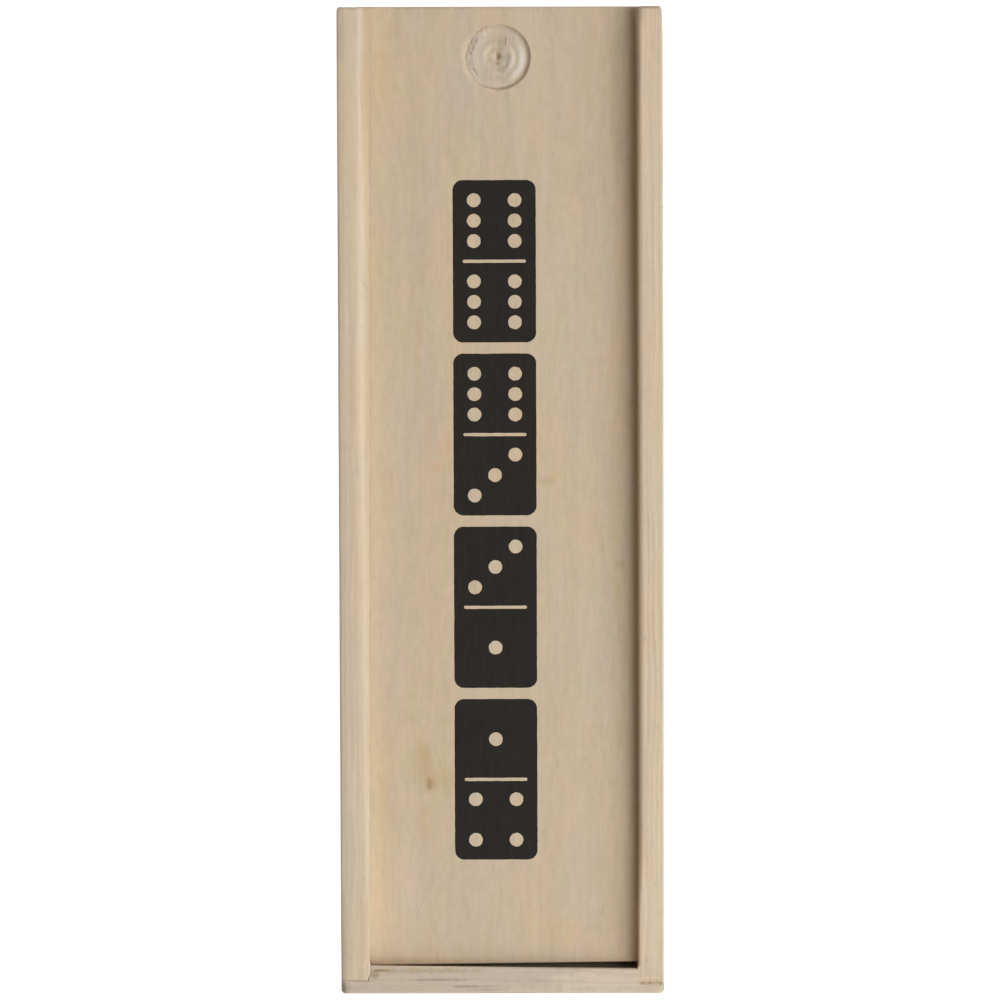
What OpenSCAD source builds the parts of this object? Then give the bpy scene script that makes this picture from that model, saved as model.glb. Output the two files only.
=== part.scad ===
// Wooden domino box with a sliding plywood lid.
// Two grooved side walls, a rabbeted end board that closes the box, a lower end
// board that the lid slides over, and a plywood base glued and pinned below.
// X runs across the box, Y along the slide with the open end at +Y, Z up from
// the surface that the box stands on.

/* [Compartment] */
// Length of the compartment, for seven stacks of tiles
well_l = 142; // [90:1:220]
// Width of the compartment, for the length of a tile
well_w = 41; // [30:0.5:80]
// Height of the compartment, for four layers of tiles
well_h = 21; // [15:0.5:50]

/* [Boards] */
// Thickness of the side walls
wall_t = 4.1; // [3.5:0.1:7]
// Thickness of the end boards
end_t = 4; // [3:0.1:7]
// Thickness of the base panel
base_t = 3; // [2:0.1:5]
// Thickness of the lid
lid_t = 3; // [2.4:0.1:5]
// Part of the closed end board that laps over the ends of the side walls
lap_t = 2; // [1:0.1:2.5]

/* [Lid slide] */
// Depth of the groove in each side wall
groove_d = 2; // [1.2:0.1:2.5]
// Wood left above the groove
lip_h = 2.7; // [2:0.1:5]
// Free height over the lid in its groove
lid_play_z = 0.3; // [0.2:0.05:0.6]
// Free width beside each edge of the lid in its groove
lid_play_x = 0.3; // [0.15:0.05:0.6]
// Gap that the closed lid leaves at the closed end board
lid_end_gap = 0.4; // [0.2:0.1:1.5]
// Gap between the lid and the end board that it passes over
sill_gap = 0.2; // [0.1:0.05:0.6]

/* [Thumb recess] */
// Diameter of the recess
thumb_d = 10; // [8:0.5:20]
// Distance from the open end of the lid to the rim of the recess
thumb_edge = 2.6; // [1:0.1:12]
// Depth of the recess's floor
thumb_depth = 0.6; // [0.4:0.05:1]
// Width of the ring that the rim of the drill scores round the floor
score_w = 0.6; // [0.4:0.1:1]
// Depth of that ring below the floor
score_depth = 0.25; // [0.1:0.05:0.4]
// Diameter of the boss that the drill leaves round its point
boss_d = 3.2; // [2.4:0.1:4]
// Height of the boss above the floor
boss_h = 0.2; // [0.1:0.05:0.3]
// Diameter of the pit that the drill's point makes in the boss
pit_d = 0.9; // [0.5:0.1:1.4]
// Depth of the pit below the floor
pit_depth = 0.7; // [0.3:0.05:1]
// Width of the bevel round the top of the recess
rim_bevel = 0.15; // [0.05:0.05:0.3]

/* [Pins] */
// Diameter of a pin's shank
pin_d = 0.9; // [0.7:0.1:1.2]
// Diameter of a pin's head
pin_head_d = 1.7; // [1.4:0.1:2.2]
// Thickness of a pin's head
pin_head_t = 0.5; // [0.4:0.1:0.8]
// Length of a pin
pin_l = 12; // [9:0.5:13]
// Length of a pin's tapered point
pin_point_l = 1.8; // [1:0.1:3]
// Diameter of the blunt tip of the point
pin_tip_d = 0.3; // [0.2:0.05:0.4]
// Depth that a pin's head is set below the surface
pin_set = 0.15; // [0.05:0.05:0.4]
// Pins through the base panel into each side wall
pins_per_wall = 3; // [2:1:5]
// Distance from the ends of the box to the first of those pins
pin_margin = 18; // [12:1:30]
// Height of the lower pin in the open end board, above the base panel
low_pin_z = 5; // [4:0.5:8]
// Distance from the upper pin in the open end board up to the lid groove
high_pin_drop = 5; // [3:0.5:6]

/* [Edges] */
// Radius of the upright outer corners
corner_r = 0.8; // [0.4:0.1:1.5]
// Radius of the outer edges along the top and the base
edge_r = 0.5; // [0.2:0.1:1]
// Radius of the inner edge along the top of the walls
arris_r = 0.6; // [0.3:0.1:1.2]
// Radius of the upright corners of the lid
lid_corner_r = 0.8; // [0.3:0.1:2]
// Radius of the long edges of the lid
lid_edge_r = 0.4; // [0.2:0.1:0.8]

/* [Hidden] */

$fn = 48;
past = 1;                                   // how far a cutter runs past a face

box_l = well_l + 2 * end_t;
box_w = well_w + 2 * wall_t;
groove_z = base_t + well_h;                 // the floor of the grooves
groove_h = lid_t + lid_play_z;
box_h = groove_z + groove_h + lip_h;
closed_y = -box_l / 2;                      // the outer faces of the two ends
open_y = box_l / 2;

lid_l = box_l - end_t - lid_end_gap;
lid_w = well_w + 2 * (groove_d - lid_play_x);
thumb_r = thumb_d / 2;

wall_x = (box_w - wall_t) / 2;              // the middle of a side wall
closed_end_y = closed_y + end_t / 2;        // the middle of each end board
open_end_y = open_y - end_t / 2;
pin_run = box_l - 2 * pin_margin;           // from the first base pin to the last

wood = "#cfbb9d";
ply = "#c9b48f";
steel = "#8d8d8a";

// A rectangle about the origin with round corners
module round_rect(w, h, r) {
    square([w - 2 * r, h], center = true);
    square([w, h - 2 * r], center = true);
    for (x = [-1, 1], y = [-1, 1])
        translate([x * (w / 2 - r), y * (h / 2 - r)])
            circle(r = r);
}

// What a round edge takes off a square corner. The corner is at the origin, and
// the wood is where x and y are negative.
module corner_waste(r) {
    difference() {
        translate([-r, -r])
            square(r + past);
        translate([-r, -r])
            circle(r = r);
    }
}

// The whole box as a block, with the outer edges as they are sanded once the
// boards are glued up
module sanded_block() {
    intersection() {
        linear_extrude(box_h)
            round_rect(box_w, box_l, corner_r);
        translate([0, 0, box_h / 2])
            rotate([90, 0, 0])
                linear_extrude(box_l + 2 * past, center = true)
                    round_rect(box_w, box_h, edge_r);
        translate([0, 0, box_h / 2])
            rotate([90, 0, 90])
                linear_extrude(box_w + 2 * past, center = true)
                    round_rect(box_l, box_h, edge_r);
    }
}

// The right side wall in section, seen from the closed end: a board with the lid
// groove ploughed in its inner face
module wall_section() {
    difference() {
        translate([well_w / 2, base_t])
            square([wall_t, box_h - base_t]);
        translate([well_w / 2 - past, groove_z])
            square([groove_d + past, groove_h]);
        translate([well_w / 2, box_h])
            mirror([1, 0])
                corner_waste(arris_r);
    }
}

// A side wall: the same board on the left (-1) and on the right (1). Its groove
// runs out at both ends, and the closed end board laps over the one at -Y.
module side_wall(side) {
    color(wood)
        difference() {
            intersection() {
                sanded_block();
                mirror([side < 0 ? 1 : 0, 0, 0])
                    translate([0, open_y, 0])
                        rotate([90, 0, 0])
                            linear_extrude(box_l - lap_t)
                                wall_section();
            }
            at_base_pins() pin_hole();
            at_end_pins() pin_hole();
        }
}

module left_wall() { side_wall(-1); }
module right_wall() { side_wall(1); }

// The end board that the lid closes against. Its outer part laps over the ends of
// the side walls, and the rest of its thickness stands between them.
module closed_end_board() {
    color(wood)
        difference() {
            intersection() {
                sanded_block();
                translate([0, closed_y, base_t])
                    linear_extrude(box_h - base_t) {
                        translate([-box_w / 2, 0])
                            square([box_w, lap_t]);
                        translate([-well_w / 2, 0])
                            square([well_w, end_t]);
                    }
            }
            translate([0, closed_y + end_t, box_h])
                rotate([90, 0, 90])
                    linear_extrude(well_w + 2 * past, center = true)
                        corner_waste(arris_r);
            at_base_pins() pin_hole();
        }
}

// The lower end board, which stands between the side walls and under the lid
module open_end_board() {
    color(wood)
        difference() {
            intersection() {
                sanded_block();
                translate([-well_w / 2, open_y - end_t, base_t])
                    cube([well_w, end_t, well_h - sill_gap]);
            }
            at_base_pins() pin_hole();
            at_end_pins() pin_hole();
        }
}

// The plywood base, which covers the whole underside of the frame
module base_panel() {
    color(ply)
        difference() {
            intersection() {
                sanded_block();
                translate([-box_w / 2, closed_y, 0])
                    cube([box_w, box_l, base_t]);
            }
            at_base_pins() pin_hole();
        }
}

// What the drill takes out of the lid, with the lid's face at the origin: a flat
// floor in a scored ring, round a boss with a pit where the point stood
module thumb_cutter() {
    floor_r = thumb_r - score_w;
    boss_z = boss_h - thumb_depth;
    score_z = -thumb_depth - score_depth;
    rotate_extrude()
        polygon([
            [0, past],
            [0, -thumb_depth - pit_depth],
            [pit_d / 2, boss_z],
            [boss_d / 2 - boss_h, boss_z],
            [boss_d / 2, -thumb_depth],
            [floor_r, -thumb_depth],
            [floor_r + score_w / 2, score_z],
            [thumb_r, score_z],
            [thumb_r, -rim_bevel],
            [thumb_r + rim_bevel, 0],
            [thumb_r + rim_bevel, past]
        ]);
}

// The plywood lid, with the long edges that run in the grooves eased
module sliding_lid() {
    color(ply)
        translate([0, open_y - lid_l / 2, groove_z])
            difference() {
                intersection() {
                    linear_extrude(lid_t)
                        round_rect(lid_w, lid_l, lid_corner_r);
                    translate([0, 0, lid_t / 2])
                        rotate([90, 0, 0])
                            linear_extrude(lid_l + 2 * past, center = true)
                                round_rect(lid_w, lid_t, lid_edge_r);
                }
                translate([0, lid_l / 2 - thumb_edge - thumb_r, lid_t])
                    thumb_cutter();
            }
}

// A pin driven along +Z from the origin, with its head set below the surface
module pin() {
    translate([0, 0, pin_set]) {
        cylinder(d = pin_head_d, h = pin_head_t);
        cylinder(d = pin_d, h = pin_l - pin_point_l);
        translate([0, 0, pin_l - pin_point_l])
            cylinder(d1 = pin_d, d2 = pin_tip_d, h = pin_point_l);
    }
}

// The hole that a driven pin makes, open behind its head
module pin_hole() {
    pin();
    translate([0, 0, -past])
        cylinder(d = pin_head_d, h = past + pin_set + pin_head_t);
}

// The places of the pins that go up through the base panel: a row in each side
// wall, and one in the middle of each end board
module at_base_pins() {
    for (side = [-1, 1], k = [0 : pins_per_wall - 1])
        translate([side * wall_x, k * pin_run / (pins_per_wall - 1) - pin_run / 2, 0])
            children();
    for (y = [closed_end_y, open_end_y])
        translate([0, y, 0])
            children();
}

// The places of the pins that go through the side walls into the open end board
module at_end_pins() {
    for (side = [-1, 1], z = [base_t + low_pin_z, groove_z - high_pin_drop])
        translate([side * box_w / 2, open_end_y, z])
            rotate([0, -90 * side, 0])
                children();
}

module base_pins() { color(steel) at_base_pins() pin(); }
module end_pins() { color(steel) at_end_pins() pin(); }

left_wall();
right_wall();
closed_end_board();
open_end_board();
base_panel();
sliding_lid();
base_pins();
end_pins();
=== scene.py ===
import math

import bmesh
import bpy
from mathutils import Matrix, Vector, noise


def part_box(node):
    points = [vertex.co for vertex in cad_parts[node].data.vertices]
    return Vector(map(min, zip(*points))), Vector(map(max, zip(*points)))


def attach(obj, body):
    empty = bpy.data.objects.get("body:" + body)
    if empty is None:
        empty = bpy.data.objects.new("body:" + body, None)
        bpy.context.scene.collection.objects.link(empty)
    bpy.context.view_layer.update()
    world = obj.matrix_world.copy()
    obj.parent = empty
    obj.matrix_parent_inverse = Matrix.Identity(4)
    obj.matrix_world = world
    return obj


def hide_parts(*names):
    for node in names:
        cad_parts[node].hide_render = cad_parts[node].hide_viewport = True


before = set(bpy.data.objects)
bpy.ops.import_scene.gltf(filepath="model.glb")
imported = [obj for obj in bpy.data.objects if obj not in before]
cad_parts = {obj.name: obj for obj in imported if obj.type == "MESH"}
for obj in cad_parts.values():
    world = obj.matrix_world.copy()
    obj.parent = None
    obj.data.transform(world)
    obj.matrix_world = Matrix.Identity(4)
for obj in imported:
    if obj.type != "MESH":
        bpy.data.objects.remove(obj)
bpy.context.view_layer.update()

# ---- Side walls ----
# Two strips of pale sanded hardwood, grain lengthwise, with the lid groove ploughed
# along the inside. The inner top edges were eased by hand after gluing up, the left
# one to a bevel that is widest where the lid comes out.

mm = 0.001
noise.seed_set(1)                                     # else noise_vector is seeded by the clock
low_left, high_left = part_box("left_wall")
low_lid, high_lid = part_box("sliding_lid")
low_base, high_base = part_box("base_panel")
outer_x = high_base.x
open_y = high_base.y
inner_x = -high_left.x
top_z = high_left.z
play = 0.3 * mm                                       # between the lid and its groove
groove_x = high_lid.x + play
groove_top = high_lid.z + play
groove_floor = low_lid.z - 0.04 * mm
seam = 0.02 * mm                                      # half of the line at a glued joint
end_ease = 0.58 * mm                                  # how far back the open ends were planed
low_corner = 0.26 * mm                                # how much lower the right closed corner is
right_lip = 20.44                                     # where the right inner edge starts, in mm
pin_head_r = 0.85 * mm
pin_pit = [(0, -0.72), (0.89, -0.72), (0.90, -0.10), (1.0, 0.02), (1.0, 0.6), (0, 0.6)]
round_steps = 28                                      # flats round a pin's pit

# Where the two walls differ, -1 is the left wall and 1 the right.
lap_y = {-1: low_left.y + 0.22 * mm, 1: low_left.y - 0.15 * mm}    # the closed end
end_y = {-1: open_y - 0.33 * mm, 1: open_y - 0.27 * mm}            # the open end
end_slope = {-1: 0.34, 1: 0.62}                       # how steeply the open end was planed
outer_round = {-1: 0.45 * mm, 1: 0.35 * mm}           # the radius of the outer top edge
square_reach = {-1: (0.3 * mm, 1.2 * mm), 1: (0.1 * mm, 0.45 * mm)}    # beyond tongue_y

# The end board's inner half stands between the walls. Its left joint was cut askew.
tongue_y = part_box("closed_end_board")[1].y
askew_w, askew_l = 0.45 * mm, 1.1 * mm
askew_y = tongue_y - 0.45 * mm
tongue_x = {-1: inner_x - askew_w, 1: inner_x + 0.10 * mm}


class Socket:
    """One output of a shader node. Arithmetic on it adds Math nodes to its finish."""

    def __init__(self, finish, output):
        self.finish = finish
        self.output = output

    def __add__(self, other):
        return self.finish.math("ADD", self, other)

    def __sub__(self, other):
        return self.finish.math("SUBTRACT", self, other)

    def __rsub__(self, other):
        return self.finish.math("SUBTRACT", other, self)

    def __mul__(self, other):
        return self.finish.math("MULTIPLY", self, other)

    def __truediv__(self, other):
        return self.finish.math("DIVIDE", self, other)

    def __abs__(self):
        return self.finish.math("ABSOLUTE", self)

    __radd__ = __add__
    __rmul__ = __mul__


class Finish:
    """A material, made node by node, that reads places in millimetres."""

    def __init__(self, name):
        self.material = bpy.data.materials.new(name)
        self.material.use_nodes = True
        self.tree = self.material.node_tree
        self.tree.nodes.clear()
        self.place = self.node(
            "VectorMath", {"operation": "SCALE"},
            {0: self.node("TexCoord", output="Object"), "Scale": 1 / mm})

    def node(self, kind, settings=None, sockets=None, output=0):
        made = self.tree.nodes.new("ShaderNode" + kind)
        for key, value in (settings or {}).items():
            setattr(made, key, value)
        for key, value in (sockets or {}).items():
            if isinstance(value, Socket):
                self.tree.links.new(value.output, made.inputs[key])
            else:
                made.inputs[key].default_value = value
        return Socket(self, made.outputs[output] if made.outputs else None)

    def math(self, operation, *values):
        return self.node("Math", {"operation": operation}, dict(enumerate(values)))

    def vector(self, operation, *values):
        return self.node("VectorMath", {"operation": operation}, dict(enumerate(values)))

    def parts(self, vector):
        return [self.node("SeparateXYZ", None, {0: vector}, axis) for axis in range(3)]

    def joined(self, x, y, z):
        return self.node("CombineXYZ", None, {0: x, 1: y, 2: z})

    def noise(self, place, stretch, detail=2.0, roughness=0.5, shift=0.0):
        """Noise with features a unit across, after place is stretched along each axis."""
        moved = self.vector("MULTIPLY_ADD", place, stretch, (shift, shift, shift))
        return self.node("TexNoise", None, {
            "Vector": moved, "Scale": 1.0, "Detail": detail, "Roughness": roughness})

    def step(self, value, low, high):
        """0 below low and 1 above high, and smooth between them."""
        return self.node("MapRange", {"interpolation_type": "SMOOTHSTEP"}, {
            "Value": value, "From Min": low, "From Max": high})

    def mix(self, amount, first, second, blend="MIX"):
        return self.node("Mix", {"data_type": "RGBA", "blend_type": blend}, {
            0: amount, 6: first, 7: second}, 2)

    def shade(self, colour, amount):
        """A colour made lighter or darker by a number that varies over the surface."""
        return self.node("VectorMath", {"operation": "SCALE"}, {0: colour, "Scale": amount})

    def spot(self, place, x, y, half_w, half_l, ragged=0.35):
        """A soft patch round a point of the XY plane, ragged at its edge."""
        apart = self.vector("SUBTRACT", place, (x, y, 0.0))
        near = self.vector("MULTIPLY", apart, (1 / half_w, 1 / half_l, 0.0))
        far = self.node("VectorMath", {"operation": "LENGTH"}, {0: near}, "Value")
        frayed = far + (self.noise(place, (0.9, 0.25, 0.9)) - 0.5) * (4 * ragged)
        return 1 - self.step(frayed, 0.25, 1.0)

    def finished(self, colour, roughness, height, depth, specular=0.25):
        """The surface itself: colour, roughness, and bumps of a depth in metres."""
        bump = self.node("Bump", None, {"Strength": 1.0, "Distance": depth, "Height": height})
        surface = self.node("BsdfPrincipled", None, {
            "Base Color": colour, "Roughness": roughness, "Normal": bump,
            "Specular IOR Level": specular})
        self.node("OutputMaterial", None, {"Surface": surface})
        return self.material


def fibres(finish, along, shift):
    """Fine grain along Y, as light and dark about 0.5: hairs, threads, bands and mottle.

    Also returns the place bent as the grain bends."""
    wander = finish.noise(along, (0.07, 0.03, 0.07), shift=shift) - 0.5
    kink = finish.noise(along, (0.55, 0.22, 0.55), 1.0, shift=shift + 5) - 0.5
    x, y, z = finish.parts(along)
    bent = finish.joined(x + wander * 2.4 + kink * 0.55, y, z + wander * 0.6)
    hair = finish.noise(bent, (4.6, 0.75, 4.6), 1.0, 0.5, shift)
    thread = finish.noise(bent, (2.0, 0.13, 2.0), 3.0, 0.6, shift + 11)
    band = finish.noise(bent, (0.42, 0.018, 0.42), 2.0, 0.5, shift + 23)
    mottle = finish.noise(along, (1.15, 0.50, 1.15), 3.0, 0.6, shift + 37)
    return hair, thread, band, mottle, bent


def end_grain(finish, axis):
    """How far the surface cuts across a grain that runs along an axis."""
    normal = finish.node("TexCoord", output="Normal")
    return finish.step(abs(finish.parts(normal)[axis]), 0.45, 0.85)


def board_wood(name, axis, shift, pale, deep, ring_gap, lean, streaky, smudges_and_shade=(), worn=None):
    """Solid wood with its grain along X (axis 0) or Y (axis 1).

    worn(finish, tint) returns the tint as hands have left it, with painted light and shade."""
    finish = Finish(name)
    x, y, z = finish.parts(finish.place)
    along = finish.joined(x, y, z) if axis == 1 else finish.joined(y, x, z)
    hair, thread, band, mottle, bent = fibres(finish, along, shift)
    u, _, w = finish.parts(bent)
    rise = (u * math.cos(lean) + w * math.sin(lean)) / ring_gap
    ring = finish.math("FRACT", rise + band * 2.0)
    late = finish.step(ring, 0.25, 0.95) * (1 - finish.step(ring, 0.93, 1.0))
    warm = finish.noise(along, (0.32, 0.05, 0.32), 2.0, 0.5, shift + 31)
    tint = finish.mix(finish.step(warm, 0.38, 0.62), pale, deep)
    light = 0.78 + hair * 0.08 + thread * 0.16 + band * 0.10 + mottle * 0.13 - late * 0.05
    pore = finish.noise(along, (1.5, 0.8, 1.5), 0.0, 0.5, shift + 47)
    light = light - finish.step(pore, 0.71, 0.80) * 0.07
    light = light + (finish.noise(bent, (2.4, 0.014, 2.4), 1.0, 0.5, shift + 71) - 0.5) * streaky
    if worn:
        tint = worn(finish, tint)
    colour = finish.shade(tint, light)
    on_top = finish.step(z, 27.5, 29.2)
    # Stains, and painted light and shade, on the top.
    for x_at, y_at, half_w, half_l, stain_or_painted_light in smudges_and_shade:
        patch = finish.spot(finish.place, x_at, y_at, half_w, half_l) * on_top
        colour = finish.mix(patch * (0.35 + thread * 0.9), colour, stain_or_painted_light, "MULTIPLY")
    cut = end_grain(finish, axis)
    pores = finish.noise(along, (5.0, 0.3, 5.0), 2.0, 0.7, shift + 41)
    sawn = finish.shade(tint, 0.50 + pores * 0.38 - late * 0.08)
    colour = finish.mix(cut, colour, sawn)
    height = thread * 0.6 + hair * 0.4 + cut * pores
    return finish.finished(colour, 0.62 + thread * 0.16, height, 0.03 * mm)


def loft_board(section_at, stations):
    """A closed board, extruded through its section at each station in turn.

    Returns the bmesh and its rails, the edges that run along it from each corner."""
    bm = bmesh.new()
    start = section_at(stations[0])
    face = bm.faces.new([bm.verts.new(point) for point in start])
    rails = [[vert] for vert in face.verts]
    for station in stations[1:]:
        passed = face
        grown = bmesh.ops.extrude_face_region(bm, geom=[face])["geom"]
        face = next(part for part in grown if isinstance(part, bmesh.types.BMFace))
        if station != stations[1]:
            bmesh.ops.delete(bm, geom=[passed], context="FACES_ONLY")
        for rail, vert, point in zip(rails, face.verts, section_at(station)):
            vert.co = point
            rail.append(vert)
    edges = [[bm.edges.get(pair) for pair in zip(rail, rail[1:])] for rail in rails]
    bmesh.ops.recalc_face_normals(bm, faces=bm.faces)
    return bm, edges


def round_over(bm, edges, radius, segments=4):
    """Rounds the edges, as sanding does."""
    bmesh.ops.bevel(bm, geom=edges, offset=radius, offset_type="OFFSET", segments=segments,
                    profile=0.5, affect="EDGES", material=-1, clamp_overlap=False)


def keep_inside(bm, low, high):
    """Holds every point inside the piece's own box."""
    for vert in bm.verts:
        vert.co = [min(max(value, least), most)
                   for value, least, most in zip(vert.co, low, high)]


def wear(bm, amount, reach, shift):
    """Moves each point by smooth noise, so that edges run a little uneven.

    amount is about the most that a point moves, and reach the length of a wave."""
    for vert in bm.verts:
        spot = (vert.co + Vector((shift, shift, shift))) / reach
        vert.co += noise.noise_vector(spot) * amount


def applied(made):
    """Makes the object's modifiers final."""
    bpy.context.view_layer.update()
    graph = bpy.context.evaluated_depsgraph_get()
    made.data = bpy.data.meshes.new_from_object(made.evaluated_get(graph))
    made.modifiers.clear()


def linked(bm, name, material):
    """Makes the bmesh an object, and frees it."""
    bmesh.ops.triangulate(bm, faces=[face for face in bm.faces if len(face.verts) > 4])
    mesh = bpy.data.meshes.new(name)
    bm.to_mesh(mesh)
    bm.free()
    mesh.materials.append(material)
    made = bpy.data.objects.new(name, mesh)
    bpy.context.scene.collection.objects.link(made)
    return made


def piece(bm, name, body, nodes, material, cutter=None):
    """Makes the bmesh a piece that stands for its CAD nodes, less what a cutter takes."""
    made = linked(bm, name, material)
    if cutter:
        tool = linked(cutter, "tool", material)
        cut = made.modifiers.new("cut", "BOOLEAN")
        cut.object = tool
        applied(made)
        bpy.data.objects.remove(tool)
    made.data.shade_smooth()
    made.data.set_sharp_from_angle(angle=math.radians(38))
    made.modifiers.new("shading", "WEIGHTED_NORMAL").keep_sharp = True
    applied(made)
    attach(made, body)
    if nodes:
        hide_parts(*nodes)
    return made


def turned(bm, profile, spot, out, steps):
    """Adds what a drill or a pin takes: a profile of (radius, height) in mm, turned round."""
    side = out.orthogonal().normalized()
    verts = [bm.verts.new(spot + side * (r * mm) + out * (h * mm)) for r, h in profile]
    edges = [bm.edges.new(pair) for pair in zip(verts, verts[1:])]
    bmesh.ops.spin(bm, geom=verts + edges, cent=spot, axis=out, angle=2 * math.pi,
                   steps=steps, use_merge=True)
    bmesh.ops.remove_doubles(bm, verts=bm.verts, dist=0.002 * mm)
    bmesh.ops.recalc_face_normals(bm, faces=bm.faces)


def eased(distance, radius):
    """How far a rounded edge has drawn back at a distance from the end."""
    if distance >= radius:
        return 0.0
    return radius - math.sqrt(radius ** 2 - (radius - distance) ** 2)


def run(start, end, count, ease_start, ease_end):
    """Stations from start to end, closer together where the two ends are rounded."""
    turn = [1 - math.cos(math.radians(angle)) for angle in (0, 25, 45, 65, 90)]
    low = [start + ease_start * share for share in turn]
    high = [end - ease_end * share for share in reversed(turn)]
    step = (high[0] - low[-1]) / count
    return low + [low[-1] + step * k for k in range(1, count)] + high


def soft_step(value, low, high):
    """0 below low and 1 above high, and smooth between them, as Finish.step is."""
    share = min(max((value - low) / (high - low), 0), 1)
    return share * share * (3 - 2 * share)


def left_ridge(gone, step):
    """How far out the left wall's rubbed ridge is, in mm.

    gone is 0 at the open end and 1 at the closed end, and step is the soft step to use."""
    return 20.88 + 0.20 * step(gone, 0.01, 0.09) - 0.42 * step(gone, 0.58, 1.0)


def tongue_edge(side, y):
    """How far out the joint between a wall and the end board's inner half is at y."""
    if side > 0:
        return tongue_x[side]
    return tongue_x[side] + askew_w * min(max((askew_y - y) / askew_l, 0), 1)


def inner_edge(side, gone, tail, end):
    """The points, as (x, depth) in mm, of the top inner edge from the top to the lip.

    The left edge was rubbed down to a slope, and the right one is round. tail is 1 where
    the wall meets the end board at end, and the right edge is square there."""
    if side < 0:
        ridge, lip = left_ridge(gone, soft_step), 19.74 + 0.54 * gone
        slope = 0.08 + 0.34 * soft_step(gone, -0.05, 0.27) - 0.26 * soft_step(gone, 0.80, 0.94)
        fall = slope * (ridge - lip)
        edge = [(ridge + 0.16, 0.0), (ridge, 0.01), (ridge - 0.08, 0.03)]
        for share in (0.35, 0.65, 0.92):
            edge.append((ridge + (lip - ridge) * share, 0.01 + fall * share))
        edge.append((lip, fall + 0.03))
        square = [(0.40, 0.0), (0.33, 0.01), (0.27, 0.02), (0.19, 0.05), (0.11, 0.08),
                  (0.04, 0.11), (0.0, 0.16)]
    else:
        lip = right_lip + 0.20 * soft_step(gone, 0.0, 0.7)
        nick = math.exp(-(((gone - 0.35) / 0.006) ** 2))
        bend = 1.05 - 0.65 * soft_step(gone, 0.84, 0.95) + 0.16 * nick
        bend += 0.7 * (1 - soft_step(gone, 0.002, 0.010))
        turns = [math.radians(15 * k) for k in range(7)]
        edge = [(lip + bend * (1 - math.sin(turn)), bend * (1 - math.cos(turn)))
                for turn in turns]
        square = [(0.01 * k, 0.0) for k in range(6, -1, -1)]
    return [(x + (end + out - x) * tail, depth + (drop - depth) * tail)
            for (x, depth), (out, drop) in zip(edge, square)]


def drawn_in(y):
    """How far the right wall's outer face was sanded in towards the open end."""
    return (0.05 * soft_step(y, 50 * mm, 70 * mm) + 0.12 * soft_step(y, 70 * mm, 74.5 * mm)) * mm


def wall_section(side, y):
    """The wall's section at y, from the inner bottom corner and outwards."""
    gone = (open_y - y) / (open_y - low_left.y)
    square_y, eased_y = [tongue_y + reach for reach in square_reach[side]]
    tail = 1 - soft_step(y, square_y, eased_y)
    outer = outer_x
    top = top_z
    if side > 0:
        outer -= drawn_in(y)
        top -= low_corner * gone ** 2
    pull = end_slope[side] * max(end_ease - (end_y[side] - y), 0)
    pull += eased(end_y[side] - y, 0.10 * mm)
    shrink = eased(y - lap_y[side], seam)
    top -= pull + shrink
    outer -= 0.6 * pull + shrink
    edge = inner_edge(side, gone, tail, tongue_edge(side, y) / mm)
    hollow = 0.16 * mm if side < 0 else 0.0
    points = [(inner_x, high_base.z), (outer, high_base.z), (outer, top)]
    points += [(x * mm, top - depth * mm) for x, depth in edge]
    points += [
        (edge[-1][0] * mm + hollow, groove_top), (groove_x, groove_top),
        (groove_x, groove_floor), (inner_x, groove_floor)]
    return [(side * x, y, z) for x, z in points]


def side_wall(side, name, node, material):
    """Lofts a wall, closely stepped at the corner joint, and sinks its two pin pits."""
    corner = [lap_y[side] + step * mm for step in (0, 0.02, 0.4, 0.8)]
    corner += [tongue_y + step * mm for step in (-0.45, 0.1, 0.2, 0.3, 0.4, 0.6, 0.8, 1.0, 1.2)]
    stations = corner + run(corner[-1] + 0.4 * mm, end_y[side], 44, 0.1 * mm, end_ease)
    bm, rails = loft_board(lambda y: wall_section(side, y), stations)
    outer_top, upper_mouth, lower_mouth = rails[2], rails[10], rails[13]
    round_over(bm, outer_top, outer_round[side])
    round_over(bm, upper_mouth + lower_mouth, 0.10 * mm, 2)
    wear(bm, 0.03 * mm, 9 * mm, side)
    low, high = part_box(node)
    low.y = lap_y[side]
    low.x, high.x = min(low.x, 19 * mm), max(high.x, -19 * mm)    # the lip may lie over the lid
    keep_inside(bm, low, high)
    pits = bmesh.new()
    low_pin, high_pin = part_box("end_pins")
    out = Vector((side, 0, 0))
    for z in (low_pin.z, high_pin.z):
        inward = pin_head_r if z == low_pin.z else -pin_head_r
        spot = Vector((side * outer_x, low_pin.y + pin_head_r, z + inward))
        turned(pits, pin_pit, spot, out, round_steps)
    return piece(bm, name, "case", [node], material, pits)


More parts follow.
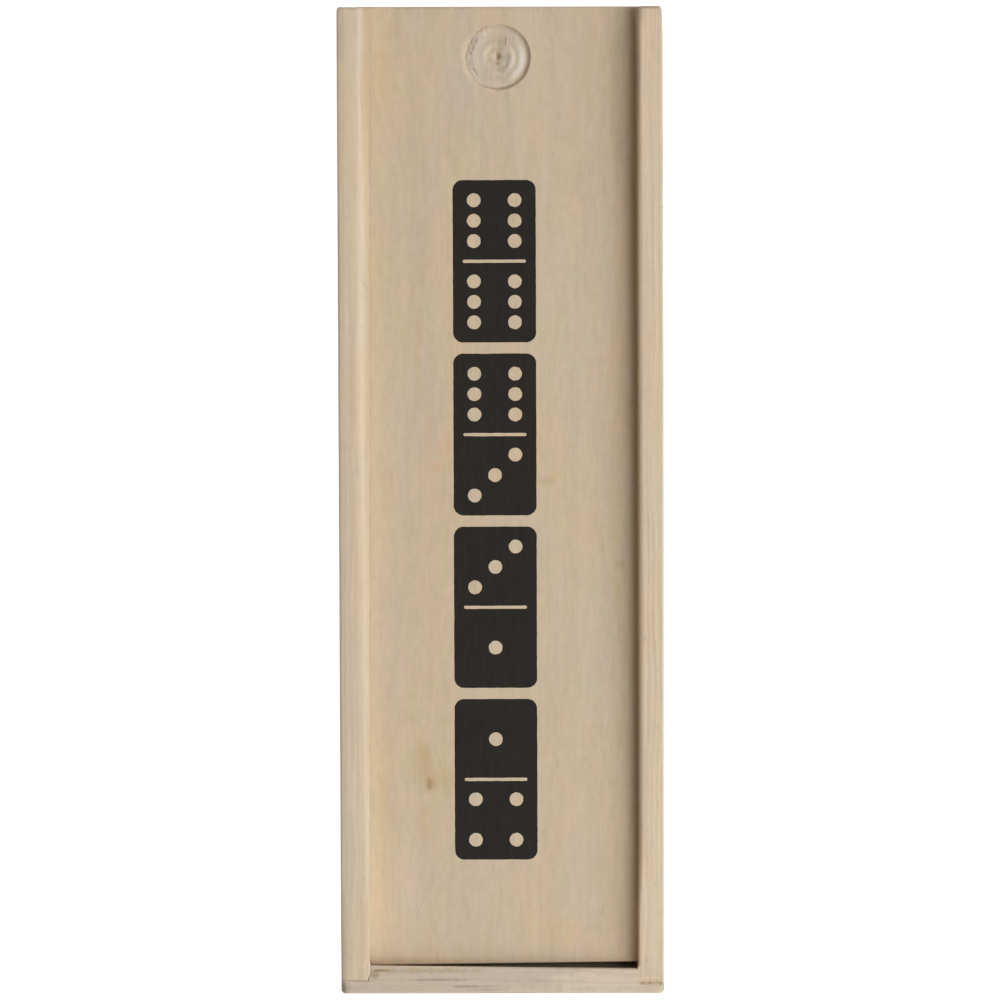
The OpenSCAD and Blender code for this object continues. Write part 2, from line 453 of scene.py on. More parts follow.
def left_wear_and_painted_light(finish, tint):
    """The left wall's ridge is rubbed pale and carries a painted highlight, its lip a painted
    shade, and its slope is handled at the open end.
    """
    x, y, z = finish.parts(finish.place)
    out = 0 - x
    rim = finish.step(out, 23.2, 23.8) * (1 - finish.step(out, 24.20, 24.45))
    tint = finish.mix(rim * finish.step(z, 27.5, 29.0), tint, (0.90, 0.915, 0.93, 1), "MULTIPLY")
    gone = (75 - y) * (1 / 148)                       # the wall runs from y = 75 to y = -73
    gap = out - left_ridge(gone, finish.step)
    # The ridge is rubbed pale, and this lightening is also a painted highlight along it.
    rub = (1 - finish.step(gap, 0.0, 1.1)) * finish.step(gap, -0.22, 0.12)
    polish_and_highlight = finish.step(y, -66.0, -44.0) * 0.13 + finish.step(y, -30.0, 8.0) * 0.11
    tint = finish.shade(tint, 1 + rub * polish_and_highlight)
    # Painted shade along the lip, where the wall meets the lid.
    lip = (1 - finish.step(gap, -0.75, -0.45)) * finish.step(y, -60.0, -40.0)
    tint = finish.mix(lip, tint, (0.94, 0.925, 0.865, 1), "MULTIPLY")
    handled = finish.step(y, 22.0, 66.0) * (1 - finish.step(gap, -0.5, -0.1))
    return finish.mix(handled, tint, (0.97, 0.925, 0.845, 1), "MULTIPLY")


def right_painted_shade(finish, tint):
    """The right wall's round inner edge has painted shade down to the lid, and its outer rounding a
    cool painted shade.
    """
    x, y, z = finish.parts(finish.place)
    gap = x - right_lip
    open_part = finish.step(y, -66.0, -50.0)
    reach = 0.72 + finish.step(y, 45.0, 70.0) * 0.25
    # Painted shade on the round inner edge, which faces away from the lamp.
    painted_shade = (1 - finish.step(gap / reach, 0.0, 1.0)) * open_part * finish.step(z, 27.0, 27.4)
    # Cool painted shade on the outer rounding, which the lamp lights.
    tint = finish.mix(finish.step(x, 23.7, 24.4), tint, (0.95, 0.98, 1.06, 1), "MULTIPLY")
    return finish.mix(painted_shade, tint, (0.50, 0.46, 0.42, 1), "MULTIPLY")


# Stains, and painted shade: where each one is, its half width and half length in mm, and its tint.
left_stains_and_shade = [
    (-24.1, -68.0, 0.7, 10.0, (0.84, 0.84, 0.84, 1)),
    (-22.4, -72.72, 4.0, 0.24, (0.76, 0.70, 0.61, 1)),
    (-23.9, 70.0, 0.9, 6.0, (0.90, 0.90, 0.91, 1)),
    # Painted shade on the open end's top edge.
    (-22.8, 74.85, 3.0, 0.60, (0.80, 0.80, 0.85, 1))]
left_wood = board_wood("left_wall_wood", 1, 3.0, (0.760, 0.630, 0.477, 1),
                       (0.774, 0.625, 0.455, 1), 1.9, 0.5, 0.16, left_stains_and_shade, left_wear_and_painted_light)
right_stains_and_shade = [
    (22.3, -72.95, 2.6, 0.40, (0.88, 0.82, 0.74, 1)),
    (22.6, -71.6, 1.6, 1.0, (0.97, 0.95, 0.93, 1)),
    (22.3, -71.2, 2.4, 2.4, (0.93, 0.95, 0.99, 1)),
    # Painted shade on the open end's top edge.
    (22.8, 74.85, 3.0, 0.60, (0.76, 0.75, 0.80, 1))]
right_wood = board_wood("right_wall_wood", 1, 57.0, (0.758, 0.630, 0.478, 1),
                        (0.778, 0.620, 0.455, 1), 0.85, 0.25, 0.40, right_stains_and_shade, right_painted_shade)
side_wall(-1, "left_side", "left_wall", left_wood)
side_wall(1, "right_side", "right_wall", right_wood)

# ---- Closed end board ----
# A cross-grained strip rabbeted on both sides: its outer half laps over the ends of
# the walls and its inner half fits between them. It is greyer than the walls.

back_y = low_base.y + 0.05 * mm                       # the outer face
inner_lean = {"left": 1.17 * mm, "middle": 0.84 * mm, "right": 0.56 * mm}
bend_x = 8.0 * mm                                     # where the lean changes
lip_depth = 0.5 * mm                                  # how far the face stands back at the lid


def end_board_outline(z):
    """The board's outline in plan at z. Its inner face leans in over the gap at the lid."""
    pull = eased(top_z - z, 0.45 * mm)
    left, right = -outer_x + 0.02 * mm + pull, outer_x - 0.04 * mm - pull
    outer_y = back_y + pull
    lean = min(max((z - high_lid.z) / (top_z - high_lid.z), 0), 1) ** 1.4
    lean *= 1 - 0.3 * eased(top_z - z, 0.16 * mm) / (0.16 * mm)
    worn = eased(top_z - z, 0.55 * mm)
    inner_y = tongue_y - (lip_depth if z > low_lid.z - 0.3 * mm else 0.0)
    left_joint, right_joint = -tongue_x[-1] + seam, tongue_x[1] - seam
    points = [
        (left, outer_y + 0.17 * mm), (right, outer_y + 0.05 * mm),
        (right, lap_y[1] - seam), (right_joint, lap_y[1] - seam),
        (right_joint, inner_y + inner_lean["right"] * lean - worn),
        (bend_x, inner_y + inner_lean["middle"] * lean - worn),
        (left_joint, inner_y + inner_lean["left"] * lean), (left_joint, askew_y),
        (-tongue_edge(-1, lap_y[-1]) + seam, lap_y[-1] - seam), (left, lap_y[-1] - seam)]
    return [(x, y, z) for x, y in points]


bm, rails = loft_board(end_board_outline, run(high_base.z, top_z, 24, seam, 0.56 * mm))
left_corner, right_corner = rails[0], rails[1]
round_over(bm, left_corner, 0.6 * mm, 6)
round_over(bm, right_corner, 0.68 * mm)
wear(bm, 0.03 * mm, 7 * mm, 5.0)
for vert in bm.verts:
    planed = low_corner * min(max(vert.co.x / outer_x + 1, 0) / 2, 1)
    vert.co.z -= planed * (vert.co.z - high_base.z) / (top_z - high_base.z)
low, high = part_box("closed_end_board")
high.y += 0.6 * mm                                    # the face may lean over the gap
keep_inside(bm, low, high)
grey = (0.66, 0.64, 0.64, 1)
end_stains_and_highlight = [
    (-10.0, -72.68, 5.5, 0.30, grey),
    (-4.6, -73.70, 5.0, 0.25, grey),
    (-2.5, -74.2, 3.6, 0.22, (0.80, 0.78, 0.77, 1)),
    (4.5, -73.0, 6.0, 0.22, (0.90, 0.88, 0.87, 1)),
    (-12.0, -71.25, 14.0, 0.50, (0.79, 0.75, 0.66, 1)),
    # Painted highlight: the lit strip along the inner top edge, on the left.
    (-12.0, -70.72, 14.0, 0.30, (1.10, 1.03, 0.92, 1)),
    (-18.6, -71.20, 1.6, 0.26, (0.60, 0.48, 0.38, 1)),
    (-19.5, -71.8, 1.1, 0.8, (0.66, 0.60, 0.54, 1)),
    (-23.9, -74.0, 1.8, 1.4, (0.76, 0.75, 0.75, 1)),
    (-21.5, -72.8, 2.2, 0.25, (0.84, 0.78, 0.72, 1)),
    (17.0, -72.8, 13.0, 5.0, (1.16, 1.16, 1.17, 1)),
    (22.3, -73.34, 2.6, 0.50, (0.84, 0.74, 0.64, 1)),
    (21.3, -73.32, 0.7, 0.3, (0.74, 0.68, 0.58, 1)),
    (22.33, -73.30, 0.30, 0.28, (0.52, 0.42, 0.32, 1)),
    (24.1, -73.42, 0.30, 0.32, (0.60, 0.54, 0.42, 1)),
    (-24.1, -74.0, 0.42, 1.8, (0.62, 0.58, 0.52, 1)),
    (4.0, -74.3, 7.0, 1.2, (1.08, 1.10, 1.12, 1))]
end_wood = board_wood("closed_end_wood", 0, 91.0, (0.655, 0.560, 0.456, 1),
                      (0.665, 0.552, 0.433, 1), 1.3, 0.2, 0.10, end_stains_and_highlight)
piece(bm, "closed_end", "case", ["closed_end_board"], end_wood)

# ---- Open end board ----
# The lower cross-grained strip at the other end, butted and pinned between the walls.
# The lid slides over its top edge.

low_sill, high_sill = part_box("open_end_board")
sill_inset = Vector((0.02, 0.06, 0.0)) * mm
bm = bmesh.new()
bmesh.ops.create_cube(bm, size=1.0)
bmesh.ops.scale(bm, verts=bm.verts, vec=high_sill - low_sill - 2 * sill_inset)
bmesh.ops.translate(bm, verts=bm.verts, vec=(low_sill + high_sill) / 2)
round_over(bm, bm.edges, 0.25 * mm, 3)
sill_wood = board_wood("open_end_wood", 0, 131.0, (0.700, 0.570, 0.425, 1),
                       (0.715, 0.560, 0.400, 1), 1.5, 0.9, 0.10)
piece(bm, "open_end", "case", ["open_end_board"], sill_wood)

# ---- Base panel ----
# Three-ply board, glued under the frame and trimmed flush with it, so all four edges
# show the plies. It has eight pin pits underneath.

core_low, core_high = 1.0, 2.0                        # where its core ply lies, in mm
pin_pitch = 57 * mm                                   # between the pins of one wall


def ply_band(finish, z, low, high):
    """1 inside the core ply, between two heights in millimetres."""
    return finish.step(z, low - 0.04, low + 0.04) * (1 - finish.step(z, high - 0.04, high + 0.04))


def ply_wood(name, shift, pale, deep, low, high, marks):
    """Plywood with face plies along Y and a core along X, from low to high in mm.

    marks(finish, colour) adds what is on this sheet's faces."""
    finish = Finish(name)
    x, y, z = finish.parts(finish.place)
    hair, thread, band, mottle, bent = fibres(finish, finish.place, shift)
    warm = finish.noise(bent, (0.16, 0.045, 0.16), 3.0, 0.55, shift + 31)
    tint = finish.mix(finish.step(warm, 0.36, 0.64), pale, deep)
    rosy = finish.noise(finish.place, (0.62, 0.17, 0.62), 3.0, 0.6, shift + 43)
    green, rose = (0.985, 1.004, 0.960, 1), (1.02, 0.990, 1.01, 1)
    cast = finish.mix(finish.step(rosy, 0.32, 0.68), green, rose)
    tint = finish.mix(1.0, tint, cast, "MULTIPLY")
    patchy = finish.noise(bent, (0.85, 0.16, 0.85), 2.0, 0.55, shift + 53)
    light = 0.69 + hair * 0.035 + thread * 0.12 + band * 0.14 + mottle * 0.20 + patchy * 0.14
    pore = finish.noise(finish.place, (1.6, 0.9, 1.6), 0.0, 0.5, shift + 47)
    light = light - finish.step(pore, 0.73, 0.82) * 0.05
    face = marks(finish, finish.shade(tint, light))
    pores = finish.noise(finish.place, (5.5, 5.5, 5.5), 2.0, 0.7, shift + 41)
    cut = end_grain(finish, 1)
    face = finish.mix(cut, face, finish.shade(tint, 0.48 + pores * 0.36))
    wobble = (finish.noise(finish.place, (0.5, 0.12, 0.5), shift=shift + 51) - 0.5) * 0.5
    core = ply_band(finish, z + wobble, low, high)
    crossed = finish.joined(y, x, z)
    core_thread = finish.noise(crossed, (3.0, 0.12, 3.0), 3.0, 0.6, shift + 61)
    core_cut = end_grain(finish, 0)
    long_core = finish.shade(tint, 0.74 + core_thread * 0.30)
    cut_core = finish.shade(tint, 0.36 + pores * 0.42)
    colour = finish.mix(core, face, finish.mix(core_cut, long_core, cut_core))
    glue = ply_band(finish, z + wobble, low - 0.07, high + 0.07) - core
    colour = finish.mix(glue * 0.55, colour, (0.30, 0.20, 0.12, 1))
    height = thread * 0.6 + hair * 0.4 + (cut + core * core_cut) * pores
    return finish.finished(colour, 0.60 + thread * 0.16, height, 0.025 * mm)


def base_outline(z):
    """The panel's outline at z, drawn in at the bottom edge and a little at the core."""
    pull = eased(z, 0.35 * mm)
    core = 0.03 * mm if core_low * mm < z < core_high * mm else 0.0
    w, l = outer_x - pull - core, open_y - pull - core
    return [(-w, -l, z), (w, -l, z), (w, l, z), (-w, l, z)]


bm, rails = loft_board(base_outline, run(0.0, high_base.z, 3, 0.35 * mm, 0.01 * mm))
round_over(bm, sum(rails, []), 0.7 * mm)
keep_inside(bm, low_base, high_base)
base_wood = ply_wood("base_plywood", 211.0, (0.660, 0.535, 0.395, 1), (0.660, 0.520, 0.365, 1),
                     core_low, core_high, lambda finish, colour: colour)
high_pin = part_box("base_pins")[1]
pin_x, pin_y = high_pin.x - pin_head_r, high_pin.y - pin_head_r
pin_places = [(x, y) for x in (-pin_x, pin_x) for y in (-pin_pitch, 0, pin_pitch)]
pin_places += [(0, -pin_y), (0, pin_y)]
pits = bmesh.new()
for x, y in pin_places:
    turned(pits, pin_pit, Vector((x, y, 0)), Vector((0, 0, -1)), round_steps)
piece(bm, "base", "case", ["base_panel"], base_wood, pits)

# ---- Pins ----
# Plain wire pins with small flat heads, driven up through the base and in through the
# walls at the open end, and set just under the surface.


def wire_steel():
    """Bare wire, a little dull."""
    finish = Finish("pin_steel")
    dull = finish.noise(finish.place, (3.0, 3.0, 3.0), 3.0, 0.6)
    colour = finish.mix(dull, (0.30, 0.29, 0.28, 1), (0.48, 0.47, 0.46, 1))
    bump = finish.node("Bump", None, {"Strength": 0.5, "Distance": 0.02 * mm, "Height": dull})
    surface = finish.node("BsdfPrincipled", None, {
        "Base Color": colour, "Metallic": 1.0, "Roughness": 0.32 + dull * 0.3, "Normal": bump})
    finish.node("OutputMaterial", None, {"Surface": surface})
    return finish.material


steel = wire_steel()
for name in ("base_pins", "end_pins"):
    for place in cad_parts[name].material_slots:
        place.material = steel

# ---- Lid ----
# Three-ply board that slides in the grooves, pale veneer with fine straight grain. A
# flat drill has cut the round thumb recess, which is torn at its left rim.

lid_ease = 0.30 * mm                                  # how far its edges are rounded
back_reach = Vector((0, 0.4 * mm, 0))                 # the skewed back edge may lie this far out
row_gap = 5                                           # between the rows of points, in mm
lid_grain = 17.0                                      # which part of the noise its grain takes


def lid_outline(z):
    """The lid's outline at z: eased long edges and a back edge cut out of square."""
    pull = eased(min(z - low_lid.z, high_lid.z - z), lid_ease)
    w = high_lid.x - pull
    left_back, right_back = low_lid.y - 0.27 * mm, low_lid.y + 0.17 * mm
    left_front, right_front = high_lid.y - 0.01 * mm, high_lid.y - 0.08 * mm
    return [(-w, left_back + 0.25 * pull, z), (w, right_back + 0.25 * pull, z),
            (w, right_front - 0.25 * pull, z), (-w, left_front - 0.25 * pull, z)]


def sag(y):
    """How far the lid's worn top lies below its full height."""
    return (0.14 * soft_step(y, -45 * mm, 5 * mm) + 0.36 * soft_step(y, 30 * mm, 62 * mm)) * mm


bm, rails = loft_board(lid_outline, run(low_lid.z, high_lid.z, 3, lid_ease, lid_ease))
round_over(bm, rails[0] + rails[1] + rails[2] + rails[3], 0.5 * mm)
keep_inside(bm, low_lid - back_reach, high_lid)
for row in range(-65, 75, row_gap):
    bmesh.ops.bisect_plane(bm, geom=bm.verts[:] + bm.edges[:] + bm.faces[:], dist=1e-7,
                           plane_co=(0, row * mm, 0), plane_no=(0, 1, 0))
for vert in bm.verts:
    if vert.co.z > low_lid.z + 1.5 * mm:
        vert.co.z -= sag(vert.co.y)

thumb = Vector((-0.32 * mm, high_lid.y - 7.62 * mm, 0))    # the middle of the recess
thumb.z = high_lid.z - sag(thumb.y)

pink, orange, olive = (1.03, 0.955, 0.93, 1), (1.03, 0.965, 0.88, 1), (0.97, 0.98, 0.88, 1)
# Stains on the lid, and painted light and shade.
lid_stains_and_painted_light = [
    (-12.5, 24.0, 0.9, 9.0, (1.01, 0.975, 0.92, 1)),
    (-11.4, 11.0, 1.0, 7.0, pink),
    (-8.2, 8.6, 1.4, 2.6, pink),
    (-9.6, 5.4, 1.2, 1.2, pink),
    (6.7, 3.0, 1.8, 1.0, (0.90, 0.91, 0.84, 1)),
    (8.8, 4.0, 2.0, 0.8, olive),
    (18.0, -9.6, 1.0, 1.2, (0.88, 0.86, 0.80, 1)),
    (-12.0, -37.8, 1.0, 2.0, olive),
    (-12.0, -40.0, 2.2, 5.6, (0.945, 0.89, 0.83, 1)),
    (-8.6, -42.6, 2.4, 3.0, (0.93, 0.93, 0.83, 1)),
    (-9.6, -39.9, 0.5, 1.4, (0.90, 0.93, 0.87, 1)),
    (-6.2, -41.5, 0.9, 6.0, olive),
    (-11.9, -49.0, 1.4, 5.0, (1.0, 0.955, 0.91, 1)),
    (-18.4, -50.0, 1.6, 12.0, (1.0, 0.98, 0.90, 1)),
    (9.0, -66.0, 5.0, 4.0, orange),
    (-17.5, 66.0, 1.4, 7.0, (1.0, 0.985, 0.94, 1)),
    # Painted light, lightening the lid towards the closed end on the left.
    (-17.0, -62.0, 6.0, 16.0, (1.07, 1.06, 1.06, 1)),
    # Painted shadow of the right wall on the lid at the open end, and painted light close to the
    # wall.
    (17.6, 62.0, 1.3, 16.0, (0.93, 0.93, 0.90, 1)),
    (19.7, 62.0, 0.9, 16.0, (1.14, 1.12, 1.10, 1)),
    (-6.5, 66.0, 3.0, 10.0, (0.985, 1.0, 1.06, 1)),
    (-12.0, 74.9, 10.0, 0.5, (0.90, 0.90, 0.90, 1)),
    (-16.0, 71.5, 1.6, 3.0, (0.95, 0.94, 0.92, 1)),
    (0.0, 74.9, 26.0, 0.45, (0.92, 0.93, 0.98, 1)),
    # Painted shade, browning the right wall's shadow along the lid.
    (17.8, 10.0, 1.7, 62.0, (0.965, 0.945, 0.885, 1)),
    (-11.15, -43.1, 1.1, 1.9, (0.93, 0.89, 0.83, 1)),
    (-11.1, -43.1, 0.46, 1.15, (0.77, 0.76, 0.72, 1))]

# Stains, and painted light and shade, in and round the recess, with places measured from its
# middle.
recess_stains_and_painted_light = [
    # Painted shade on the right of the floor, beside the ridge round the point.
    (1.40, -0.25, 0.75, 1.9, (0.70, 0.74, 0.74, 1)),
    (0.55, 1.6, 0.8, 1.7, (0.82, 0.82, 0.81, 1)),
    (1.20, 2.3, 0.20, 1.1, (0.64, 0.62, 0.60, 1)),
    (0.0, -0.98, 0.46, 0.40, (0.70, 0.62, 0.55, 1)),
    (0.5, 2.9, 1.3, 1.3, (0.92, 0.92, 0.90, 1)),
    (0.9, -1.6, 1.6, 1.2, (0.86, 0.86, 0.85, 1)),
    (0.0, -3.0, 0.18, 0.6, (0.86, 0.84, 0.82, 1)),
    (-2.6, -0.3, 1.0, 2.4, (1.07, 1.06, 1.10, 1)),
    # Painted light on the left of the floor, which faces the lamp.
    (-1.5, 0.5, 1.1, 1.3, (1.15, 1.13, 1.10, 1)),
    # Painted shade in the centre pit.
    (0.0, 0.22, 0.66, 0.95, (0.60, 0.50, 0.40, 1)),
    (-3.3, 2.6, 0.6, 0.9, (0.88, 0.86, 0.90, 1)),
    # Painted highlight just outside the left rim.
    (-5.55, 1.2, 0.32, 2.8, (1.05, 1.04, 1.03, 1)),
    # Painted light, easing the rim's shade at the bottom.
    (-1.5, -5.2, 2.6, 0.5, (1.05, 1.04, 1.02, 1)),
    (-0.6, -4.8, 1.8, 0.4, (1.14, 1.13, 1.12, 1))]


def circled(finish, away, radius, near, far):
    """1 on a circle about the recess, fading from near it to far from it, in mm."""
    return 1 - finish.step(abs(away - radius), near, far)


def lid_marks(finish, colour):
    """Stains, a pin knot and its halo, the fresh wood in the thumb recess, and painted light and
    shade on the lid and in and round the recess.
    """
    middle_x, middle_y = thumb.x / mm, thumb.y / mm
    stains_and_painted_light = lid_stains_and_painted_light + [(middle_x + x, middle_y + y, *rest) for x, y, *rest in recess_stains_and_painted_light]
    # Stains, and painted light and shade.
    for x_at, y_at, half_w, half_l, stain_or_painted_light in stains_and_painted_light:
        patch = finish.spot(finish.place, x_at, y_at, half_w, half_l)
        colour = finish.mix(patch, colour, stain_or_painted_light, "MULTIPLY")
    x, y, _ = finish.parts(finish.place)
    # Painted light: the lid is lightened at the closed end, on the left, where the end board shades
    # it.
    closed_end_light = (1 - finish.step(y, -71.0, -68.0)) * (1 - finish.step(x, -8.0, 6.0))
    colour = finish.shade(colour, 1 + closed_end_light * 0.16)

    centre = tuple(value / mm for value in thumb)
    x, y, z = finish.parts(finish.vector("SUBTRACT", finish.place, centre))
    away = finish.math("SQRT", x * x + y * y)
    cut = 1 - finish.step(z, -0.02, 0.0)
    inside = (1 - finish.step(away, 4.45, 4.75)) * (1 - finish.step(z, -0.12, -0.03))
    colour = finish.mix(inside, colour, (0.965, 0.985, 1.04, 1), "MULTIPLY")
    shaded_side = finish.step((x + y * 0.6) / (away + 0.1), 0.1, 0.7)
    rim_shade = circled(finish, away, 4.66, 0.22, 0.50) * shaded_side * cut
    colour = finish.shade(colour, 1 - rim_shade * 0.17)
    leftward = (0 - x) / (away + 0.1)
    left = finish.step(leftward, 0.60, 0.90)
    # Painted highlight on a ring just outside the left rim.
    colour = finish.shade(colour, 1 + left * circled(finish, away, 5.25, 0.15, 0.45) * 0.13)
    # Painted shade that tones down the lamp-lit left wall of the recess.
    lit_rim_shade = finish.step(leftward, 0.0, 0.5) * circled(finish, away, 4.9, 0.15, 0.35) * cut
    colour = finish.mix(lit_rim_shade, colour, (0.90, 0.89, 0.87, 1), "MULTIPLY")
    ragged = finish.noise(finish.place, (2.6, 1.3, 2.6), 2.0, 0.6, 5.0)
    # Painted shade in the torn groove on the left, ragged like the torn fibres.
    torn_groove_shade = left * circled(finish, away, 4.03, 0.07, 0.34) * finish.step(ragged, 0.30, 0.62)
    colour = finish.mix(torn_groove_shade, colour, (0.58, 0.57, 0.55, 1), "MULTIPLY")
    # Painted bluish highlights on the ridges of the recess floor, on its right.
    rings = circled(finish, away, 3.68, 0.15, 0.62) + circled(finish, away, 2.32, 0.10, 0.38) * 0.75
    ring_highlight = inside * rings * finish.step(x / (away + 0.1) - y * 0.06, 0.50, 1.0)
    return finish.mix(ring_highlight, colour, (1.32, 1.41, 1.64, 1), "MULTIPLY")


def thumb_cutter():
    """What the drill took away: a ridged floor round its point, deeper on the right.

    The rim lies 5.1 mm out, and the left of the floor is torn."""
    profile = [(0.0, -0.72), (0.20, -0.69), (0.38, -0.54), (0.62, -0.42), (0.95, -0.38),
               (1.28, -0.41), (1.52, -0.48), (1.75, -0.47), (2.10, -0.39), (2.40, -0.38),
               (2.75, -0.43), (3.05, -0.42), (3.40, -0.37), (3.60, -0.35), (3.75, -0.34),
               (3.90, -0.33), (4.05, -0.33), (4.20, -0.33), (4.34, -0.35), (4.45, -0.38),
               (4.56, -0.38), (4.67, -0.31), (4.78, -0.22), (4.89, -0.12), (5.00, -0.04),
               (5.08, 0.0), (5.10, 1.0), (0.0, 1.0)]
    bm = bmesh.new()
    turned(bm, profile, thumb, Vector((0, 0, 1)), 180)
    pit_r, floor_r = 0.6, 4.5
    torn_towards = math.radians(158)
    for vert in bm.verts:
        place = (vert.co - thumb) / mm
        if place.z > 0.01:
            continue
        if place.xy.length > 4.4:
            place.z *= 0.55 + 0.45 * soft_step(place.x - 0.3 * place.y, -2.6, 0.6)
        away, angle = place.xy.length, math.atan2(place.y, place.x)
        grain = noise.noise(Vector((place.x / 0.30, place.y / 2.2, 1.7)))
        rough = noise.noise(place / 0.40)
        fine = noise.noise(place / 0.17)
        torn = soft_step(math.cos(angle - torn_towards), 0.30, 0.75)
        if pit_r < away < floor_r:
            place.z += grain * 0.03 + rough * 0.02
        if 3.65 < away < 4.95:
            score = 0.12 * math.exp(-(((away - 3.98) / 0.12) ** 2))
            bed = -0.18 + 0.12 * rough + 0.06 * fine - score
            place.z += (min(bed, -0.02) - place.z) * torn * soft_step(away, 3.7, 4.0)
        if away > floor_r:
            place.xy *= 1 + torn * 0.02 * rough + 0.008 * fine
        if away < pit_r:
            place.x += 0.45 * place.y + 0.05
            place.y = 1.3 * place.y + 0.15
        vert.co = thumb + place * mm
    return bm


lid_top = high_lid.z / mm
lid_wood = ply_wood("lid_plywood", lid_grain, (0.680, 0.566, 0.427, 1), (0.696, 0.560, 0.401, 1),
                    lid_top - 2.2, lid_top - 1.3, lid_marks)
piece(bm, "lid", "lid", ["sliding_lid"], lid_wood, thumb_cutter())

# ---- Print ----
# One pass of matt black ink on the lid: four domino tiles end to end, whose pips and
# middle lines are left as bare wood.

print_x, print_y = -0.93 * mm, -2.95 * mm
tile_w, tile_l, tile_gap = 12.6 * mm, 24.6 * mm, 1.7 * mm
tile_corner, pip_r, pip_step = 1.5 * mm, 1.05 * mm, 3.1 * mm
line_w, line_l = 0.5 * mm, 9.6 * mm
ink_low, ink_high = high_lid.z + 0.003 * mm, high_lid.z + 0.016 * mm
chain = ((6, 6), (6, 3), (3, 1), (1, 4))              # the two halves of each tile
pips = {
    1: [(0, 0)], 3: [(-1, -1), (0, 0), (1, 1)], 4: [(-1, -1), (-1, 1), (1, -1), (1, 1)],
    6: [(x, y) for x in (-1, 1) for y in (-1, 0, 1)]}


def ring(bm, x, y, half_w, half_l, corner, segments):
    """A loop of edges round a point: a rectangle with round corners, or a circle."""
    made = bmesh.ops.create_circle(bm, segments=segments * 4, radius=corner,
                                   matrix=Matrix.Rotation(math.pi / (segments * 4), 4, "Z"))
    for vert in made["verts"]:
        vert.co.x += math.copysign(half_w - corner, vert.co.x) + x
        vert.co.y += math.copysign(half_l - corner, vert.co.y) + y
    return made["verts"]


bm = bmesh.new()
for place, halves in enumerate(chain):
    centre_y = print_y + ((len(chain) - 1) / 2 - place) * (tile_l + tile_gap)
    ring(bm, print_x, centre_y, tile_w / 2, tile_l / 2, tile_corner, 10)
    ring(bm, print_x, centre_y, line_l / 2, line_w / 2, line_w / 2, 4)
    for half, count in zip((1, -1), halves):
        for across, down in pips[count]:
            ring(bm, print_x + across * pip_step, centre_y + half * tile_l / 4 + down * pip_step,
                 pip_r, pip_r, pip_r, 10)
longest = 0.8 * mm                                    # so that straight edges can waver
long_edges = [edge for edge in bm.edges if edge.calc_length() > longest]
for edge in long_edges:
    bmesh.ops.subdivide_edges(bm, edges=[edge], cuts=int(edge.calc_length() / longest))
for vert in bm.verts:
    blur = noise.noise_vector(vert.co / (0.5 * mm)) * 0.05 * mm
    vert.co += Vector((blur.x, blur.y, 0))
bmesh.ops.triangle_fill(bm, use_beauty=True, edges=bm.edges, normal=(0, 0, 1))
grown = bmesh.ops.extrude_face_region(bm, geom=bm.faces[:])["geom"]
for part in grown:
    if isinstance(part, bmesh.types.BMVert):
        part.co.z = ink_high - ink_low
for vert in bm.verts:
    vert.co.z += ink_low - sag(vert.co.y)
bmesh.ops.recalc_face_normals(bm, faces=bm.faces)


def black_ink():
    """Ink that has sunk into the veneer, so the lid's grain still shows."""
    finish = Finish("black_ink")
    hair, thread, *_ = fibres(finish, finish.place, lid_grain)
    worn = finish.noise(finish.place, (1.2, 0.5, 1.2), 3.0, 0.6, 71.0)
    colour = finish.mix(worn, (0.0135, 0.0115, 0.0095, 1), (0.0255, 0.0225, 0.0190, 1))
    colour = finish.shade(colour, 0.6 + thread * 0.8)
    return finish.finished(colour, 0.62 + thread * 0.2, thread * 0.6 + hair * 0.4, 0.03 * mm)


piece(bm, "lid_print", "lid", [], black_ink())

# ---- Glue ----
# A few crumbs of dried glue, squeezed out of the right-hand lap joint and never
# scraped off.

crumbs = [(21.2, -73.28, 0.09), (22.3, -73.30, 0.13), (22.62, -73.22, 0.07),
          (23.0, -73.38, 0.07), (23.6, -73.20, 0.08), (24.1, -73.36, 0.11)]
bm = bmesh.new()
for x_at, y_at, size in crumbs:
    crumb = bmesh.ops.create_icosphere(bm, subdivisions=3, radius=size * mm)["verts"]
    for vert in crumb:
        vert.co *= 1 + 0.35 * noise.noise(vert.co / (0.12 * mm) + Vector((x_at, y_at, 0)))
        vert.co.z *= 0.35
    bmesh.ops.translate(bm, verts=crumb, vec=(x_at * mm, y_at * mm, top_z - 0.24 * mm))
keep_inside(bm, Vector((-1, -1, 0)), Vector((1, 1, top_z)))


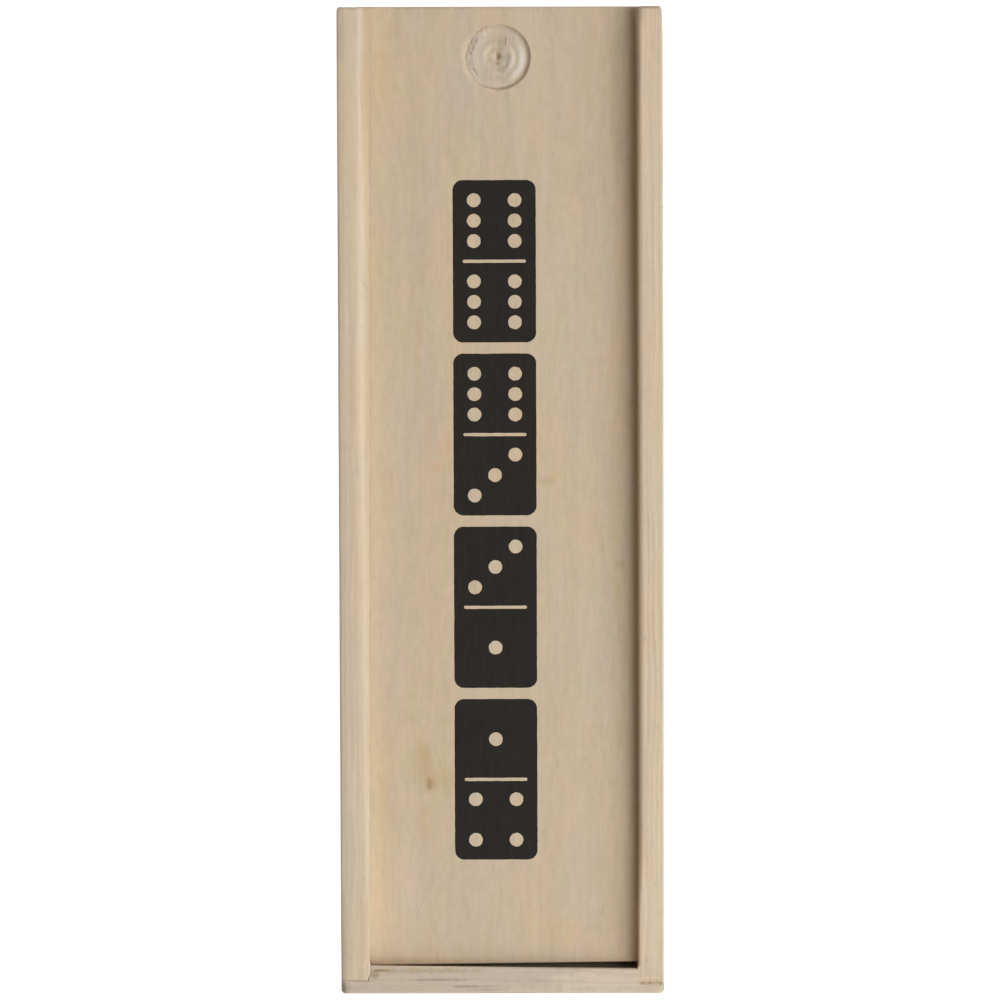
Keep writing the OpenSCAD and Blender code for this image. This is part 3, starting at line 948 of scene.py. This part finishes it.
def dried_glue():
    """Brown glue, set hard."""
    finish = Finish("dried_glue")
    mottle = finish.noise(finish.place, (4.0, 4.0, 4.0), 3.0, 0.6)
    colour = finish.mix(mottle, (0.30, 0.22, 0.14, 1), (0.48, 0.38, 0.27, 1))
    return finish.finished(colour, 0.35 + mottle * 0.3, mottle, 0.05 * mm)


piece(bm, "joint_glue", "case", [], dried_glue())

# ---- Floor, light and camera ----
# An evenly lit white floor, one broad soft light from the right and a warm surround.
# The camera looks down from above, a little towards the closed end.


def pale_floor():
    """Glows evenly, so that the floor stays white round the box."""
    finish = Finish("pale_floor")
    surface = finish.node("BsdfPrincipled", None, {
        "Base Color": (0.15, 0.15, 0.15, 1), "Roughness": 0.9, "Specular IOR Level": 0.1,
        "Emission Color": (1, 1, 1, 1), "Emission Strength": 1.0})
    finish.node("OutputMaterial", None, {"Surface": surface})
    return finish.material


bpy.ops.mesh.primitive_plane_add(size=8.0, location=(0, 0, -0.01 * mm))
floor = bpy.context.object
floor.name = "floor"
floor.data.materials.append(pale_floor())

softbox = bpy.data.lights.new("softbox", "AREA")
softbox.shape = "RECTANGLE"
softbox.size = 0.75
softbox.size_y = 0.95
softbox.energy = 7.25
softbox.color = (0.93, 0.97, 1.0)
softbox_object = bpy.data.objects.new("softbox", softbox)
bpy.context.scene.collection.objects.link(softbox_object)
softbox_object.location = (0.545, -0.14, 0.605)
aim = Vector(softbox_object.location) - Vector((0, 0.2, 0))
softbox_object.rotation_euler = aim.to_track_quat("Z", "Y").to_euler()

surround = bpy.data.worlds.new("surround")
surround.use_nodes = True
surround.node_tree.nodes["Background"].inputs["Color"].default_value = (1.0, 0.84, 0.67, 1)
surround.node_tree.nodes["Background"].inputs["Strength"].default_value = 0.26
bpy.context.scene.world = surround

camera_tilt = math.radians(-2.48)
camera_roll = math.radians(-0.19)
camera = bpy.data.cameras.new("camera")
camera.sensor_width = 36
camera.lens = 135.4
camera_object = bpy.data.objects.new("camera", camera)
bpy.context.scene.collection.objects.link(camera_object)
camera_object.location = (-0.115 * mm, 25.0 * mm, top_z + 568.4 * mm)
camera_object.rotation_euler = (camera_tilt, 0, camera_roll)
bpy.context.scene.camera = camera_object
bpy.context.scene.view_settings.view_transform = "Standard"

bpy.context.view_layer.update()
